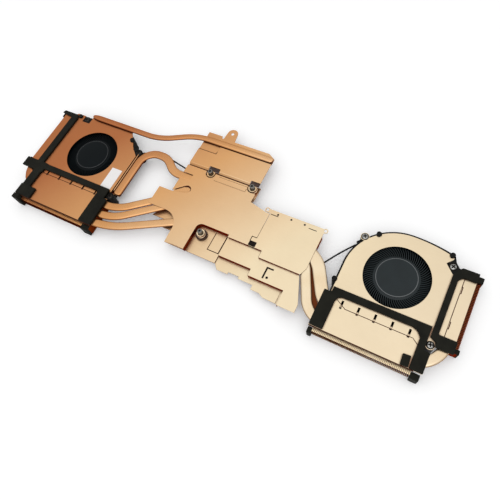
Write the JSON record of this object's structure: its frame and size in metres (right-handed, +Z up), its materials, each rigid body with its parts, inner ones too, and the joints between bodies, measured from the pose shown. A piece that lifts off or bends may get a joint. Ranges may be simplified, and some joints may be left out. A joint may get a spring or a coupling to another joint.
{
  "type": "laptop cooling fan heatsink",
  "caption": "Flat copper laptop heatsink with blowers at both ends, flattened heat pipes, stepped spreader plates, fin stacks with foam gaskets and sprung captive screws.",
  "frame": {"origin": "on the table under the middle of the outline", "axes": "+X from the left blower to the right one, +Y away from the front fins, +Z up out of the intakes"},
  "size_m": [0.3316, 0.1156, 0.0129],
  "materials": {
    "sheet_copper": "satin copper sheet",
    "pipe_copper": "satin flattened copper pipe",
    "fin_copper": "thin copper fins",
    "housing_plastic": "black moulded plastic",
    "impeller_plastic": "dark grey moulded plastic",
    "bright_steel": "nickel-plated steel",
    "dark_steel": "blackened steel",
    "bearing_bronze": "sintered bronze",
    "stator_iron": "coated laminations",
    "magnet": "bonded magnet",
    "foam": "conductive gasket foam",
    "label": "blank paper label",
    "lead_sleeve": "black sleeved cable",
    "plug_plastic": "black plug"
  },
  "bodies": {
    "module": {"back_heat_pipe": "pipe_copper", "blank_label": "label", "captive_screw_collars": "sheet_copper", "captive_screw_spring_1": "bright_steel", "captive_screw_spring_2": "bright_steel", "captive_screw_spring_3": "bright_steel", "fin_end_wraps": "foam", "foam_pad": "foam", "left_fan_bearing": "bearing_bronze", "left_fan_cover": "sheet_copper", "left_fan_housing": "housing_plastic", "left_fan_lead": "lead_sleeve", "left_fan_screws": "dark_steel", "left_fan_stator": "stator_iron", "left_front_fin_cover": "sheet_copper", "left_front_fins": "fin_copper", "left_gasket": "foam", "left_heat_pipe_front": "pipe_copper", "left_heat_pipe_middle": "pipe_copper", "left_heat_pipe_rear": "pipe_copper", "left_lead_plug": "plug_plastic", "left_side_fin_cover": "sheet_copper", "left_side_fins": "fin_copper", "loop_heat_pipe": "pipe_copper", "low_plate": "sheet_copper", "main_cold_plate": "sheet_copper", "main_plate": "sheet_copper", "mounting_bracket": "sheet_copper", "right_fan_bearing": "bearing_bronze", "right_fan_cover": "sheet_copper", "right_fan_housing": "housing_plastic", "right_fan_lead": "lead_sleeve", "right_fan_screws": "bright_steel", "right_fan_stator": "stator_iron", "right_front_fin_cover": "sheet_copper", "right_front_fins": "fin_copper", "right_front_gasket": "foam", "right_heat_pipe_front": "pipe_copper", "right_heat_pipe_rear": "pipe_copper", "right_lead_plug": "plug_plastic", "right_plate": "sheet_copper", "right_side_fin_cover": "sheet_copper", "right_side_fins": "fin_copper", "right_side_gasket": "foam", "screw_clips": "dark_steel", "second_cold_plate": "sheet_copper", "step_plate": "sheet_copper", "upper_plate": "sheet_copper"},
    "left_rotor": {"left_fan_impeller": "impeller_plastic", "left_fan_shaft": "bright_steel", "left_fan_magnet": "magnet"},
    "right_rotor": {"right_fan_impeller": "impeller_plastic", "right_fan_shaft": "bright_steel", "right_fan_magnet": "magnet"},
    "screw_1": {"captive_screw_1": "bright_steel"},
    "screw_2": {"captive_screw_2": "bright_steel"},
    "screw_3": {"captive_screw_3": "bright_steel"}
  },
  "joints": [
    {"name": "left_fan_spin", "type": "hinge", "parent": "module", "child": "left_rotor", "pos_m": [-0.11775, -0.0009, 0.0044], "axis": [0, 0, 1], "continuous": true},
    {"name": "right_fan_spin", "type": "hinge", "parent": "module", "child": "right_rotor", "pos_m": [0.12005, -0.0051, 0.0044], "axis": [0, 0, 1], "continuous": true},
    {"name": "captive_screw_1_slide", "type": "slide", "parent": "module", "child": "screw_1", "axis": [0, 0, 1], "range_m": [-0.0015, 0], "stiffness_N_per_m": 200, "springref_m": 0.001, "deforming": ["captive_screw_spring_1"]},
    {"name": "captive_screw_2_slide", "type": "slide", "parent": "module", "child": "screw_2", "axis": [0, 0, 1], "range_m": [-0.0015, 0], "stiffness_N_per_m": 200, "springref_m": 0.001, "deforming": ["captive_screw_spring_2"]},
    {"name": "captive_screw_3_slide", "type": "slide", "parent": "module", "child": "screw_3", "axis": [0, 0, 1], "range_m": [-0.0015, 0], "stiffness_N_per_m": 200, "springref_m": 0.001, "deforming": ["captive_screw_spring_3"]}
  ]
}
